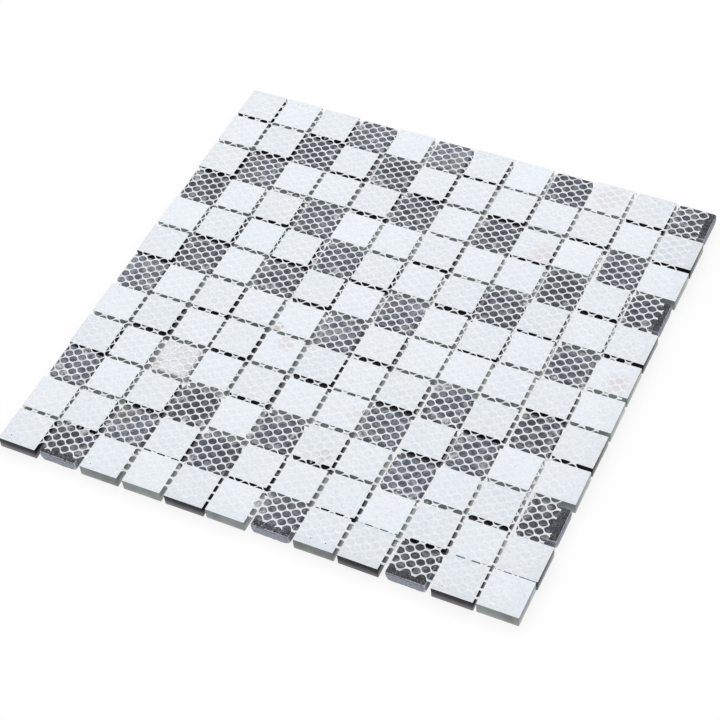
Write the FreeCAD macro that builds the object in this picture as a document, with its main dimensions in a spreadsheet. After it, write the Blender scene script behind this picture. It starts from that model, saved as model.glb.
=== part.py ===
import FreeCAD, Part
import math
import os

import Sketcher

# Mosaic tile sheet: 144 square chips of glass and stone, held in line by a glass-fibre net
# that is glued to their backs. It lies face down. The faces of the chips are on the floor at
# z = 0, their backs are flush at z = chip_thickness, and the net lies on the backs. X runs
# along a row, Y from the front row to the back row, and the origin is under the middle.

# Sizes that can be set by themselves, in millimetres and degrees.
SIZES = {
    # Every chip is as wide and as thick as the others, so that the sheet lays flat.
    "chip_side": 23.0,
    "chip_thickness": 8.0,
    # Joints between the chips. The front row sits closer to its neighbour.
    "joint_width": 2.6,
    "front_joint_width": 1.5,
    # Chips are laid by hand: how far one may slip, and how far it may turn.
    "laying_slip": 0.6,
    "laying_turn": 0.7,
    # Glass chips have an arris ground round the face, and a sharp edge round the back.
    "glass_face_arris": 1.0,
    # Stone chips are tumbled, so their corners and edges are worn all round.
    "stone_corner_wear": 1.2,
    "stone_face_round": 0.9,
    "stone_back_wear": 0.7,
    # The net has two families of flat strands, one lying on the other. Seen from the front,
    # one family rises to the right and the other falls.
    "strand_width": 0.9,
    "strand_thickness": 0.25,
    "rising_spacing": 4.71,
    "rising_angle": 33.3,
    "falling_spacing": 4.58,
    "falling_angle": 32.8,
    # Where one crossing of the net lies, measured from the middle of the sheet.
    "crossing_along": 2.6,
    "crossing_back": 0.6,
    # The net is cut shorter than the chips, most of all at the front and the right.
    "net_inset_front": 4.8,
    "net_inset_back": 3.2,
    "net_inset_left": 0.3,
    "net_inset_right": 5.0,
}

# Laying plan, front row first and each row from left to right.
LAYING_PLAN = (
    "D S W W D W S W D S D W",
    "W D S D S D W D W D W D",
    "S W D S W S D W S W D S",
    "D W C W D W W S D S W W",
    "W D W D W D W D S D S D",
    "S W D W W S D W W W D W",
    "D S W S D W S W D W S W",
    "W D W D S D W D S D W D",
    "S W D S W W D W W S D S",
    "D S W W D S W S D W S W",
    "W D S D S D W D W D W D",
    "D W D S W S D W S W D S",
)
KINDS = {
    "W": "white_glass",
    "D": "dark_glass",
    "S": "grey_stone",
    "C": "cream_stone",
}
ROWS = len(LAYING_PLAN)
COLUMNS = len(LAYING_PLAN[0].split())

# The whole sheet along X and along Y, as expressions on the sizes.
SHEET_LENGTH = f"({COLUMNS} * sizes.chip_side + {COLUMNS - 1} * sizes.joint_width)"
SHEET_WIDTH = (
    f"({ROWS} * sizes.chip_side + {ROWS - 2} * sizes.joint_width + sizes.front_joint_width)"
)


def make_size_sheet(doc):
    """Put the sizes in a spreadsheet, one alias in each line."""
    sheet = doc.addObject("Spreadsheet::Sheet", "sizes")
    for line, (name, value) in enumerate(SIZES.items(), start=1):
        sheet.set(f"A{line}", name)
        sheet.set(f"B{line}", str(value))
        sheet.setAlias(f"B{line}", name)
    doc.recompute()
    return sheet


def origin_part(body, role):
    """Find a plane or an axis of a body's origin by its role."""
    return next(part for part in body.Origin.OriginFeatures if part.Role == role)


def pad_rectangle(doc, body, length, width, height):
    """Pad a rectangle, centred on the body's origin, up from its XY plane."""
    sketch = body.newObject("Sketcher::SketchObject", f"{body.Name}_outline")
    sketch.AttachmentSupport = (origin_part(body, "XY_Plane"), [""])
    sketch.MapMode = "FlatFace"
    corners = [
        FreeCAD.Vector(-1, -1, 0),
        FreeCAD.Vector(1, -1, 0),
        FreeCAD.Vector(1, 1, 0),
        FreeCAD.Vector(-1, 1, 0),
    ]
    for start, end in zip(corners, corners[1:] + corners[:1]):
        sketch.addGeometry(Part.LineSegment(start, end), False)
    for side, direction in enumerate(("Horizontal", "Vertical", "Horizontal", "Vertical")):
        sketch.addConstraint(Sketcher.Constraint("Coincident", side, 2, (side + 1) % 4, 1))
        sketch.addConstraint(Sketcher.Constraint(direction, side))
    sketch.addConstraint(Sketcher.Constraint("Symmetric", 0, 1, 1, 2, -1, 1))
    for side, name, size in ((0, "length", length), (1, "width", width)):
        number = sketch.addConstraint(Sketcher.Constraint("Distance", side, 2.0))
        sketch.renameConstraint(number, name)
        sketch.setExpression(f"Constraints.{name}", size)
    pad = body.newObject("PartDesign::Pad", f"{body.Name}_slab")
    pad.Profile = sketch
    pad.setExpression("Length", height)
    doc.recompute()
    return pad


def is_face_edge(box, chip_box):
    """Edge that lies on the floor, round the face of a chip."""
    return box.Center.z < 0.01 * chip_box.ZLength


def is_back_edge(box, chip_box):
    """Edge that lies at the top, round the back of a chip."""
    return box.Center.z > 0.99 * chip_box.ZLength


def is_upright_edge(box, chip_box):
    """Edge that stands at a corner of a chip."""
    return box.ZLength > 0.99 * chip_box.ZLength


def dress_edges(doc, chip, kind, name, wanted, size):
    """Round or bevel the edges of a chip that pass a test on their bounding box."""
    base = chip.Tip
    edges = [
        f"Edge{number}"
        for number, edge in enumerate(base.Shape.Edges, start=1)
        if wanted(edge.BoundBox, base.Shape.BoundBox)
    ]
    dressing = chip.newObject(f"PartDesign::{kind}", f"{chip.Name}_{name}")
    dressing.Base = (base, edges)
    dressing.setExpression("Radius" if kind == "Fillet" else "Size", size)
    doc.recompute()


def make_glass_chip(doc):
    """Glass chip: square, with an arris round its face."""
    chip = doc.addObject("PartDesign::Body", "glass_chip")
    pad_rectangle(doc, chip, "sizes.chip_side", "sizes.chip_side", "sizes.chip_thickness")
    dress_edges(doc, chip, "Chamfer", "face_arris", is_face_edge, "sizes.glass_face_arris")
    return chip


def make_stone_chip(doc):
    """Stone chip: corners bevelled by wear, face edge rounded, back edge bevelled."""
    chip = doc.addObject("PartDesign::Body", "stone_chip")
    pad_rectangle(doc, chip, "sizes.chip_side", "sizes.chip_side", "sizes.chip_thickness")
    dress_edges(doc, chip, "Chamfer", "corners", is_upright_edge, "sizes.stone_corner_wear")
    dress_edges(doc, chip, "Fillet", "face_edge", is_face_edge, "sizes.stone_face_round")
    dress_edges(doc, chip, "Chamfer", "back_edge", is_back_edge, "sizes.stone_back_wear")
    return chip


def scatter(row, column, salt):
    """Give each place of the sheet its own repeatable number from -1 to 1."""
    wave = 43758.5453 * math.sin(12.9898 * row + 78.233 * column + 37.719 * salt)
    return 2.0 * (wave - math.floor(wave)) - 1.0


def inward(slip, number, last):
    """Turn the slip of a chip at the rim towards the middle of the sheet."""
    if number == 1:
        return abs(slip)
    if number == last:
        return -abs(slip)
    return slip


def lay_chip(doc, master, row, column):
    """Lay one chip in its place, slipped and turned a little as by hand."""
    chip = doc.addObject("App::Link", f"chip_{row:02d}_{column:02d}")
    chip.LinkedObject = master
    slip_along = inward(scatter(row, column, 1), column, COLUMNS)
    slip_back = inward(scatter(row, column, 2), row, ROWS)
    turn = scatter(row, column, 3)
    joints_before = "0"
    if row > 1:
        joints_before = f"(sizes.front_joint_width + {row - 2} * sizes.joint_width)"
    chip.setExpression(
        "Placement.Base.x",
        f"{column - 0.5} * sizes.chip_side + {column - 1} * sizes.joint_width"
        f" - {SHEET_LENGTH} / 2 + {slip_along:.3f} * sizes.laying_slip",
    )
    chip.setExpression(
        "Placement.Base.y",
        f"{row - 0.5} * sizes.chip_side + {joints_before}"
        f" - {SHEET_WIDTH} / 2 + {slip_back:.3f} * sizes.laying_slip",
    )
    chip.setExpression("Placement.Rotation.Angle", f"{turn:.3f} * sizes.laying_turn")
    return chip


def lay_rows(doc, masters):
    """Lay the chips, and gather those of one kind in one row as one sub-part."""
    groups = []
    for row, plan in enumerate(LAYING_PLAN, start=1):
        for letter, kind in KINDS.items():
            chips = [
                lay_chip(doc, masters[kind], row, column)
                for column, place in enumerate(plan.split(), start=1)
                if place == letter
            ]
            if not chips:
                continue
            group = doc.addObject("Part::Compound", f"row_{row:02d}_{kind}")
            group.Links = chips
            groups.append(group)
    return groups


def make_net_outline(doc):
    """The block that the net is cut to, tall enough for both families of strands."""
    outline = doc.addObject("Part::Box", "net_outline")
    outline.setExpression(
        "Length", f"{SHEET_LENGTH} - sizes.net_inset_left - sizes.net_inset_right"
    )
    outline.setExpression(
        "Width", f"{SHEET_WIDTH} - sizes.net_inset_front - sizes.net_inset_back"
    )
    outline.setExpression("Height", "2 * sizes.strand_thickness")
    outline.setExpression("Placement.Base.x", f"sizes.net_inset_left - {SHEET_LENGTH} / 2")
    outline.setExpression("Placement.Base.y", f"sizes.net_inset_front - {SHEET_WIDTH} / 2")
    outline.setExpression("Placement.Base.z", "sizes.chip_thickness")
    return outline


def make_strands(doc, sheet, outline, family, slope, layer):
    """One family of parallel strands, cut to the net's outline.

    slope is 1 where the strands rise to the right and -1 where they fall. Layer 0 lies on
    the backs of the chips, and layer 1 lies on layer 0.
    """
    spacing = f"sizes.{family}_spacing"
    angle = f"sizes.{family}_angle"
    across = outline.Length.Value + outline.Width.Value
    half_count = math.ceil(0.5 * across / sheet.get(f"{family}_spacing"))

    uncut = doc.addObject("PartDesign::Body", f"{family}_strands_uncut")
    uncut.AllowCompound = True
    strand = pad_rectangle(
        doc,
        uncut,
        f"{SHEET_LENGTH} + {SHEET_WIDTH}",
        "sizes.strand_width",
        "sizes.strand_thickness",
    )
    pattern = uncut.newObject("PartDesign::LinearPattern", f"{family}_pattern")
    pattern.Originals = [strand]
    pattern.Direction = (origin_part(uncut, "Y_Axis"), [""])
    pattern.Occurrences = 2 * half_count + 1
    pattern.setExpression("Length", f"{2 * half_count} * {spacing}")
    uncut.Tip = pattern
    uncut.setExpression("Placement.Rotation.Angle", f"{slope} * {angle}")
    uncut.setExpression(
        "Placement.Base.x",
        f"sizes.crossing_along + {slope * half_count} * {spacing} * sin({angle} * 1deg)",
    )
    uncut.setExpression(
        "Placement.Base.y",
        f"sizes.crossing_back - {half_count} * {spacing} * cos({angle} * 1deg)",
    )
    uncut.setExpression(
        "Placement.Base.z", f"sizes.chip_thickness + {layer} * sizes.strand_thickness"
    )

    strands = doc.addObject("Part::Common", f"net_{family}_strands")
    strands.Base = uncut
    strands.Tool = outline
    return strands


def check(doc, parts):
    """Stop if an object failed, or if a sub-part has no sound solid."""
    for item in doc.Objects:
        if "Invalid" in item.State or "Error" in item.State:
            raise RuntimeError(f"{item.Name} failed: {item.State}")
    for part in parts:
        if part.Shape.isNull() or not part.Shape.isValid() or not part.Shape.Solids:
            raise RuntimeError(f"{part.Name} has no sound solid")


def main():
    doc = FreeCAD.newDocument("mosaic_tile_sheet")
    sheet = make_size_sheet(doc)
    glass = make_glass_chip(doc)
    stone = make_stone_chip(doc)
    masters = {
        "white_glass": glass,
        "dark_glass": glass,
        "grey_stone": stone,
        "cream_stone": stone,
    }
    parts = lay_rows(doc, masters)
    outline = make_net_outline(doc)
    doc.recompute()
    parts.append(make_strands(doc, sheet, outline, "rising", 1, 0))
    parts.append(make_strands(doc, sheet, outline, "falling", -1, 1))
    doc.recompute()
    check(doc, parts)

    os.makedirs("parts", exist_ok=True)
    for part in parts:
        part.Label = part.Name
        part.Shape.exportStep(f"parts/{part.Label}.step")
        print(part.Label, len(part.Shape.Solids), "solids", round(part.Shape.Volume), "mm3")


main()
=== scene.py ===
"""Looks of the mosaic tile sheet: chips of glass and stone, laid face down on a net.

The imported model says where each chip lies. Every row of chips of one kind gets a modelled
piece in place of its solids, the two families of strands become one net, and dried glue
shows where the net was stuck down.
"""

import math
import random

import bmesh
import bpy
import numpy as np
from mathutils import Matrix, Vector


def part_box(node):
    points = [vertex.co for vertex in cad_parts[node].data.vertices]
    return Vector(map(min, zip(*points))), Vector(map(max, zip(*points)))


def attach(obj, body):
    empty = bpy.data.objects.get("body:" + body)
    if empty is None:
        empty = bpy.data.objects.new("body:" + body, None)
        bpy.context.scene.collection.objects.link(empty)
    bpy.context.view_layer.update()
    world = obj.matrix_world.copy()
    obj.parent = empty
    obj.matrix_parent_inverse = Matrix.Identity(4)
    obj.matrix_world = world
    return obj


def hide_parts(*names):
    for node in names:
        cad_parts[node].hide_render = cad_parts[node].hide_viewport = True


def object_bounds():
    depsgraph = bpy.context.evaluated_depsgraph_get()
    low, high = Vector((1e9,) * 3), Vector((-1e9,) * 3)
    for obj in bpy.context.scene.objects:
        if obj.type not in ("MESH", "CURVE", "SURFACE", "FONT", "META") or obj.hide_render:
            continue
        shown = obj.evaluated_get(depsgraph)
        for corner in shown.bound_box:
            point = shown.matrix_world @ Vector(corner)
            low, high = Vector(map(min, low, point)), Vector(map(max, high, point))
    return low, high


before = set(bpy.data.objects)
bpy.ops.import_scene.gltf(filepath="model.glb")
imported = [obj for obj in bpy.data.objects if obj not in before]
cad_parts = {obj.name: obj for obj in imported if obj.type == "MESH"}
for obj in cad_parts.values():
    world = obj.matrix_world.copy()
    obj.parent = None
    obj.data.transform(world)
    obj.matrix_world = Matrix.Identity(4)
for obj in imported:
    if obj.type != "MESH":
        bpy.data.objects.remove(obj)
CAD_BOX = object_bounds()

bl_info = {
    "name": "Mosaic Tile Sheet",
    "version": (1, 0, 0),
    "blender": (4, 5, 0),
    "location": "3D View > Sidebar > Mosaic",
    "description": "Models glass and stone chips, their backing net and the glue on it",
    "category": "Add Mesh",
}

MM = 0.001
BODY = "root"
KINDS = ("white_glass", "dark_glass", "grey_stone", "cream_stone")
NET_NODES = ("net_rising_strands", "net_falling_strands")
ROWS = COLUMNS = 12
WELD = 0.18 * MM
TALL = 2.0 * MM
BACK_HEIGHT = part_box("row_01_white_glass")[1].z


class MosaicChipSizes(bpy.types.PropertyGroup):
    """Sizes of the chips."""

    side: bpy.props.FloatProperty(
        name="Side", description="Width of a chip", default=23 * MM, unit="LENGTH"
    )
    thickness: bpy.props.FloatProperty(
        name="Thickness", description="From face to back", default=BACK_HEIGHT, unit="LENGTH"
    )
    glass_corner: bpy.props.FloatProperty(
        name="Glass corner",
        description="Radius of a glass chip's upright corners",
        default=0.35 * MM,
        unit="LENGTH",
    )
    glass_face_round: bpy.props.FloatProperty(
        name="Glass face edge",
        description="Radius of the fire-polished edge round a glass chip's face",
        default=1.2 * MM,
        unit="LENGTH",
    )
    glass_back_arris: bpy.props.FloatProperty(
        name="Glass back edge",
        description="Width of the sharp edge round a glass chip's back",
        default=0.12 * MM,
        unit="LENGTH",
    )
    stone_tumbling: bpy.props.IntProperty(
        name="Stone tumbling",
        description="How many times a stone chip's edges are smoothed",
        default=3,
        min=1,
    )
    stone_wear: bpy.props.FloatProperty(
        name="Stone wear",
        description="Most that tumbling has taken off the stone's edges",
        default=0.5 * MM,
        unit="LENGTH",
    )


def pull(name, text, along, back):
    """A property that says how far the net was pulled along and back, in millimetres."""
    return bpy.props.FloatVectorProperty(
        name=name, description=text, default=(along * MM, back * MM), size=2, unit="LENGTH"
    )


class MosaicNetSizes(bpy.types.PropertyGroup):
    """Sizes of the backing net, and how far it was pulled when it was laid on the chips."""

    cell_length: bpy.props.FloatProperty(
        name="Cell length", description="Along a row", default=8.539 * MM, unit="LENGTH"
    )
    cell_width: bpy.props.FloatProperty(
        name="Cell width", description="Across a row", default=5.544 * MM, unit="LENGTH"
    )
    row_drift: bpy.props.FloatProperty(
        name="Row drift",
        description="How far a row of cells steps back at each cell",
        default=-0.027 * MM,
        unit="LENGTH",
    )
    column_drift: bpy.props.FloatProperty(
        name="Column drift",
        description="How far a column of cells steps aside at each cell",
        default=-0.139 * MM,
        unit="LENGTH",
    )
    crossing: bpy.props.FloatVectorProperty(
        name="Crossing",
        description="Where one crossing of the strands lies",
        default=(2.6 * MM, 0.6 * MM),
        size=2,
        unit="LENGTH",
    )
    strand_width: bpy.props.FloatProperty(
        name="Strand width", description="Width of a strand", default=0.56 * MM, unit="LENGTH"
    )
    crossing_length: bpy.props.FloatProperty(
        name="Crossing length",
        description="How far two strands run side by side where they cross",
        default=1.7 * MM,
        unit="LENGTH",
    )
    crossing_width: bpy.props.FloatProperty(
        name="Crossing width",
        description="Width of the two strands where they run side by side",
        default=1.2 * MM,
        unit="LENGTH",
    )
    strand_height: bpy.props.FloatProperty(
        name="Strand height",
        description="Height of a strand over the backs of the chips",
        default=0.16 * MM,
        unit="LENGTH",
    )
    overhang: bpy.props.FloatProperty(
        name="Overhang",
        description="How far a whole cell may reach over the straight line of the cut",
        default=1.6 * MM,
        unit="LENGTH",
    )
    sway: bpy.props.FloatProperty(
        name="Sway",
        description="How far the strands wander from straight",
        default=0.25 * MM,
        unit="LENGTH",
    )
    pull_all: pull("Pull", "Pull of the whole net", 0.4, 0.2)
    pull_right: pull("Right pull", "Pull of the right side, and the left side's other way", -0.4, -0.3)
    pull_sides: pull("Sides pull", "Pull of the left and right sides alike", 0.8, -0.4)
    pull_corners: pull("Corner pull", "Pull of two corners, and of the others the other way", 0.7, 1.2)
    pull_back: pull("Back pull", "Pull of the back side, and the front side's other way", -1.3, 0.7)
    pull_ends: pull("Ends pull", "Pull of the front and back sides alike", -1.8, -0.3)
    pull_edges: pull("Edge pull", "Pull close to the back side, and the front's other way", 2.2, -1.2)


def display_colour(name, text, red, green, blue):
    """A colour property, with its default as it shows on a display, from 0 to 255."""
    return bpy.props.FloatVectorProperty(
        name=name,
        description=text,
        default=(red / 255, green / 255, blue / 255),
        size=3,
        min=0.0,
        max=1.0,
        subtype="COLOR_GAMMA",
    )


class MosaicColours(bpy.types.PropertyGroup):
    """Colours of the finishes."""

    white_coat: display_colour("White glass coat", "Back coat of the white glass", 230, 237, 244)
    white_side: display_colour("White glass side", "Body of the white glass", 110, 118, 116)
    dark_coat: display_colour("Dark glass coat", "Back coat of the dark glass", 224, 231, 237)
    dark_side: display_colour("Dark glass side", "Body under the coat", 26, 26, 30)
    dark_foot: display_colour("Dark glass foot", "Body towards the face", 108, 106, 113)
    stone_deep: display_colour("Stone", "Deep tone of the grey stone", 43, 47, 60)
    stone_pale: display_colour("Stone pale tone", "Pale tone of the grey stone", 149, 155, 169)
    stone_earth: display_colour("Stone earth", "Earthy tone of the grey stone", 112, 106, 90)
    stone_rubbed_and_highlight: display_colour("Stone edges", "Tone of rubbed stone edges and of the highlight painted along them", 196, 199, 204)
    cream: display_colour("Cream stone", "Main tone of the cream stone", 197, 200, 204)
    cream_pale: display_colour("Cream pale tone", "Pale tone of the cream stone", 214, 217, 222)
    tan: display_colour("Tan stain", "Rusty water stain", 176, 150, 120)
    pink: display_colour("Pink stain", "Faint glue stain", 218, 207, 210)
    net: display_colour("Net", "Coated glass fibre", 240, 244, 248)


def linear(colour):
    """Turn a display colour into the linear colour, with alpha, that a shader takes."""
    values = [
        value / 12.92 if value <= 0.04045 else ((value + 0.055) / 1.055) ** 2.4
        for value in colour
    ]
    return (*values, 1.0)


def start_alone():
    """Leave edit mode and deselect everything, so that an operator acts on nothing else."""
    if bpy.context.object and bpy.context.object.mode != "OBJECT":
        bpy.ops.object.mode_set(mode="OBJECT")
    bpy.ops.object.select_all(action="DESELECT")


def pick(*pieces):
    """Select some objects, the first of them active."""
    start_alone()
    for piece in pieces:
        piece.select_set(True)
    bpy.context.view_layer.objects.active = pieces[0]


def select(kind, wanted):
    """In edit mode, select the points, edges or faces that pass a test, and nothing else."""
    bpy.ops.mesh.select_mode(type=kind)
    bpy.ops.mesh.select_all(action="DESELECT")
    data = bpy.context.object.data
    mesh = bmesh.from_edit_mesh(data)
    items = {"VERT": mesh.verts, "EDGE": mesh.edges, "FACE": mesh.faces}[kind]
    for item in items:
        item.select_set(wanted(item))
    mesh.select_flush_mode()
    bmesh.update_edit_mesh(data)


def apply_modifier(piece, kind, **settings):
    """Add a modifier to the active piece and apply it."""
    modifier = piece.modifiers.new(kind.title(), kind)
    for name, value in settings.items():
        setattr(modifier, name, value)
    bpy.ops.object.modifier_apply(modifier=modifier.name)


def clouds(name, size, depth=2):
    """A soft noise that a Displace modifier can read."""
    texture = bpy.data.textures.get(name) or bpy.data.textures.new(name, "CLOUDS")
    texture.noise_scale = size
    texture.noise_depth = depth
    return texture


def edge_middle(edge):
    """The middle of an edge in edit mode."""
    return (edge.verts[0].co + edge.verts[1].co) / 2


def is_upright(edge):
    """An edge that stands at a corner of a chip."""
    return abs(edge.verts[0].co.z - edge.verts[1].co.z) > 0.1 * MM


def on_outline(edge, height):
    """An edge at a height that has one face level with it and one that stands."""
    if abs(edge_middle(edge).z - height) > 0.01 * MM or is_upright(edge):
        return False
    tilts = sorted(abs(face.normal.z) for face in edge.link_faces)
    return tilts[0] < 0.5 < tilts[-1]


def map_chip(chip, side):
    """Give a chip a UV map that runs from 0 to 1 across it, on its edges too."""
    layer = chip.data.uv_layers.new(name="chip")
    for loop in chip.data.loops:
        point = chip.data.vertices[loop.vertex_index].co
        layer.data[loop.index].uv = (point.x / side + 0.5, point.y / side + 0.5)


def add_block(name, sizes):
    """Start a chip as a block that stands on the floor."""
    start_alone()
    bpy.ops.mesh.primitive_cube_add(size=1, location=(0, 0, sizes.thickness / 2))
    chip = bpy.context.object
    chip.name = name
    chip.scale = (sizes.side, sizes.side, sizes.thickness)
    bpy.ops.object.transform_apply(location=True, rotation=True, scale=True)
    for layer in list(chip.data.uv_layers):
        chip.data.uv_layers.remove(layer)
    return chip


def make_glass_chip(sizes):
    """Glass chip: fire-polished round the face, cut sharp round the back."""
    chip = add_block("glass_chip", sizes)
    bpy.ops.object.mode_set(mode="EDIT")
    select("EDGE", is_upright)
    bpy.ops.mesh.bevel(offset=sizes.glass_corner, segments=3, affect="EDGES")
    select("EDGE", lambda edge: on_outline(edge, 0))
    bpy.ops.mesh.bevel(offset=sizes.glass_face_round, segments=5, affect="EDGES")
    select("EDGE", lambda edge: on_outline(edge, sizes.thickness))
    bpy.ops.mesh.bevel(offset=sizes.glass_back_arris, segments=2, affect="EDGES")
    bpy.ops.object.mode_set(mode="OBJECT")
    bpy.ops.object.shade_smooth_by_angle(angle=math.radians(40))
    map_chip(chip, sizes.side)
    return chip


def make_stone_chip(sizes):
    """Stone chip: cut in a grid, with its edges tumbled round, and rounder round the face."""
    chip = add_block("stone_chip", sizes)
    bpy.ops.object.mode_set(mode="EDIT")
    for axis, cuts in ((0, 21), (1, 21), (2, 7)):
        select("EDGE", lambda edge: abs(edge.verts[0].co[axis] - edge.verts[1].co[axis]) > 0.1 * MM)
        bpy.ops.mesh.subdivide(number_cuts=cuts)
    bpy.ops.mesh.select_all(action="SELECT")
    bpy.ops.mesh.vertices_smooth(factor=0.5, repeat=sizes.stone_tumbling)
    select("VERT", lambda vert: vert.co.z < 0.45 * sizes.thickness)
    bpy.ops.mesh.vertices_smooth(factor=0.5, repeat=2 * sizes.stone_tumbling)
    bpy.ops.object.mode_set(mode="OBJECT")
    bpy.ops.object.shade_smooth()
    map_chip(chip, sizes.side)
    group = chip.vertex_groups.new(name="edges")
    depths = []
    for vertex in chip.data.vertices:
        x, y, z = vertex.co
        gap = min(sizes.side / 2 - abs(x), sizes.side / 2 - abs(y), z, sizes.thickness - z)
        depths.append(min(1.0, gap / (0.4 * MM)))
        group.add([vertex.index], depths[-1], "REPLACE")
    chip.data.attributes.new("chip_edge", "FLOAT", "POINT").data.foreach_set("value", depths)
    return chip


def read_node(node):
    """Read where the chips of a CAD node lie: the middle and the turn of each."""
    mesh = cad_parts[node].data
    corners = np.array([vertex.co for vertex in mesh.vertices])
    spans = sorted(
        (corners[list(face.vertices), 0].min(), face.index) for face in mesh.polygons
    )
    chips = []
    reach = -math.inf
    for start, number in spans:
        face = mesh.polygons[number]
        if start > reach + 0.2 * MM:
            chips.append([])
        chips[-1].append(face)
        reach = max(reach, corners[list(face.vertices), 0].max())
    places = []
    for faces in chips:
        points = corners[[index for face in faces for index in face.vertices]]
        middle = (points.min(axis=0) + points.max(axis=0)) / 2
        upright = [face for face in faces if abs(face.normal.z) < 0.1]
        normal = max(upright, key=lambda face: face.area).normal
        turn = (math.atan2(normal.y, normal.x) + math.pi / 4) % (math.pi / 2) - math.pi / 4
        places.append((float(middle[0]), float(middle[1]), turn))
    return places


def read_laying():
    """Read the whole laying plan from the frame, as {(row, column): (kind, x, y, turn)}."""
    low, high = CAD_BOX
    laying = {}
    for row in range(1, ROWS + 1):
        for kind in KINDS:
            node = f"row_{row:02d}_{kind}"
            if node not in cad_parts:
                continue
            for x, y, turn in read_node(node):
                column = 1 + int((x - low.x) / (high.x - low.x) * COLUMNS)
                laying[row, column] = (kind, x, y, turn)
    return laying


LAYING = read_laying()

# Chips that stand out from the rest: 0 is darkest and 1 lightest.
TONES = {
    (1, 10): 0.0, (3, 12): 0.05, (9, 12): 0.2, (2, 5): 0.2, (5, 11): 0.2,
    (12, 6): 1.3, (6, 1): 1.1, (6, 6): 1.0, (11, 12): -0.6, (1, 8): -0.2,
}


def lay_row(master, row, kind, finish=None):
    """Copy a chip to its places in one row, join the copies and let them ride."""
    chips = []
    for (chip_row, column), (chip_kind, x, y, turn) in sorted(LAYING.items()):
        if (chip_row, chip_kind) != (row, kind):
            continue
        chip = master.copy()
        chip.data = master.data.copy()
        bpy.context.scene.collection.objects.link(chip)
        chip.location = (x, y, 0)
        quarters = random.Random(f"{row} {column}").randrange(4)
        chip.rotation_euler = (0, 0, turn + quarters * math.pi / 2)
        tone = chip.data.attributes.new("chip_tone", "FLOAT", "POINT")
        shade = TONES.get((row, column), random.Random(f"tone {row} {column}").random())
        tone.data.foreach_set("value", [shade] * len(chip.data.vertices))
        chips.append(chip)
    pick(*chips)
    if len(chips) > 1:
        bpy.ops.object.join()
    piece = bpy.context.object
    piece.name = f"{kind}_chips_{row:02d}"
    bpy.ops.object.transform_apply(location=True, rotation=True, scale=True)
    if finish:
        finish(piece)
    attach(piece, BODY)
    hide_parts(f"row_{row:02d}_{kind}")
    return piece


def lay_rows(master, kinds, finish=None):
    """Lay all the rows of some kinds of chip, then put the first chip away."""
    for kind, dress in kinds.items():
        copy = master.copy()
        copy.data = master.data.copy()
        bpy.context.scene.collection.objects.link(copy)
        dress(copy)
        for row in range(1, ROWS + 1):
            if any(where[0] == row and chip[0] == kind for where, chip in LAYING.items()):
                lay_row(copy, row, kind, finish)
        bpy.data.objects.remove(copy)
    bpy.data.objects.remove(master)


class Graph:
    """A node tree, with a short word for each node that the finishes use often."""

    def __init__(self, tree):
        self.tree = tree

    def node(self, kind, inputs=None, **settings):
        """Add a node, with its settings and what its inputs take."""
        node = self.tree.nodes.new(kind)
        for name, value in settings.items():
            setattr(node, name, value)
        for name, value in (inputs or {}).items():
            self.put(node.inputs[name], value)
        return node

    def put(self, socket, value):
        """Link a socket to an input, or set the input to a number, vector or colour."""
        if isinstance(value, bpy.types.NodeSocket):
            self.tree.links.new(value, socket)
        else:
            socket.default_value = value

    def math(self, operation, *values):
        """Work on one to three numbers."""
        node = self.node("ShaderNodeMath", dict(enumerate(values)), operation=operation)
        return node.outputs[0]

    def vector(self, operation, first, second=None, output=0):
        """Work on one or two vectors."""
        node = self.node("ShaderNodeVectorMath", {0: first}, operation=operation)
        if second is not None:
            self.put(node.inputs[3 if operation == "SCALE" else 1], second)
        return node.outputs[output]

    def split(self, vector):
        """The three parts of a vector."""
        return self.node("ShaderNodeSeparateXYZ", {0: vector}).outputs

    def mix(self, factor, first, second, blend="MIX"):
        """Mix two colours."""
        node = self.node("ShaderNodeMix", data_type="RGBA", blend_type=blend)
        for index, value in ((0, factor), (6, first), (7, second)):
            self.put(node.inputs[index], value)
        return node.outputs[2]

    def ramp(self, value, low, high, start=0.0, end=1.0, smooth=True):
        """Spread the numbers from low to high over start to end, and hold them there."""
        inputs = {"Value": value, "From Min": low, "From Max": high, "To Min": start, "To Max": end}
        kind = "SMOOTHSTEP" if smooth else "LINEAR"
        return self.node("ShaderNodeMapRange", inputs, interpolation_type=kind).outputs[0]

    def noise(self, scale, detail=2.0, roughness=0.5, vector=None):
        """Soft noise on the object's own coordinates."""
        inputs = {"Scale": scale, "Detail": detail, "Roughness": roughness}
        inputs["Vector"] = self.place() if vector is None else vector
        return self.node("ShaderNodeTexNoise", inputs).outputs["Fac"]

    def place(self):
        """The object's own coordinates, in metres."""
        return self.node("ShaderNodeTexCoord").outputs["Object"]

    def facing_up(self):
        """How far the surface faces up or down: 1 on a level face and 0 on an upright one."""
        normal = self.node("ShaderNodeNewGeometry").outputs["Normal"]
        return self.math("ABSOLUTE", self.split(normal)[2])

    def group(self, maker, **inputs):
        """Place a node group, made the first time it is wanted, and give its output."""
        node = self.node("ShaderNodeGroup")
        node.node_tree = maker()
        for name, value in inputs.items():
            self.put(node.inputs[name.replace("_", " ").capitalize()], value)
        return node.outputs[0]


def node_group(name, inputs, output, kind="NodeSocketFloat"):
    """Find a node group, or make an empty one: returns its tree and, if new, its graph."""
    tree = bpy.data.node_groups.get(name)
    if tree:
        return tree, None, None
    tree = bpy.data.node_groups.new(name, "ShaderNodeTree")
    for label, default in inputs.items():
        sort = {float: "NodeSocketFloat", tuple: "NodeSocketVector"}[type(default)]
        if label == "Colour":
            sort = "NodeSocketColor"
        socket = tree.interface.new_socket(label, in_out="INPUT", socket_type=sort)
        socket.default_value = default
    tree.interface.new_socket(output, in_out="OUTPUT", socket_type=kind)
    graph = Graph(tree)
    return tree, graph, graph.node("NodeGroupInput").outputs


def close_group(graph, value):
    """Send a value out of a node group."""
    graph.node("NodeGroupOutput", {0: value})


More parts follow.
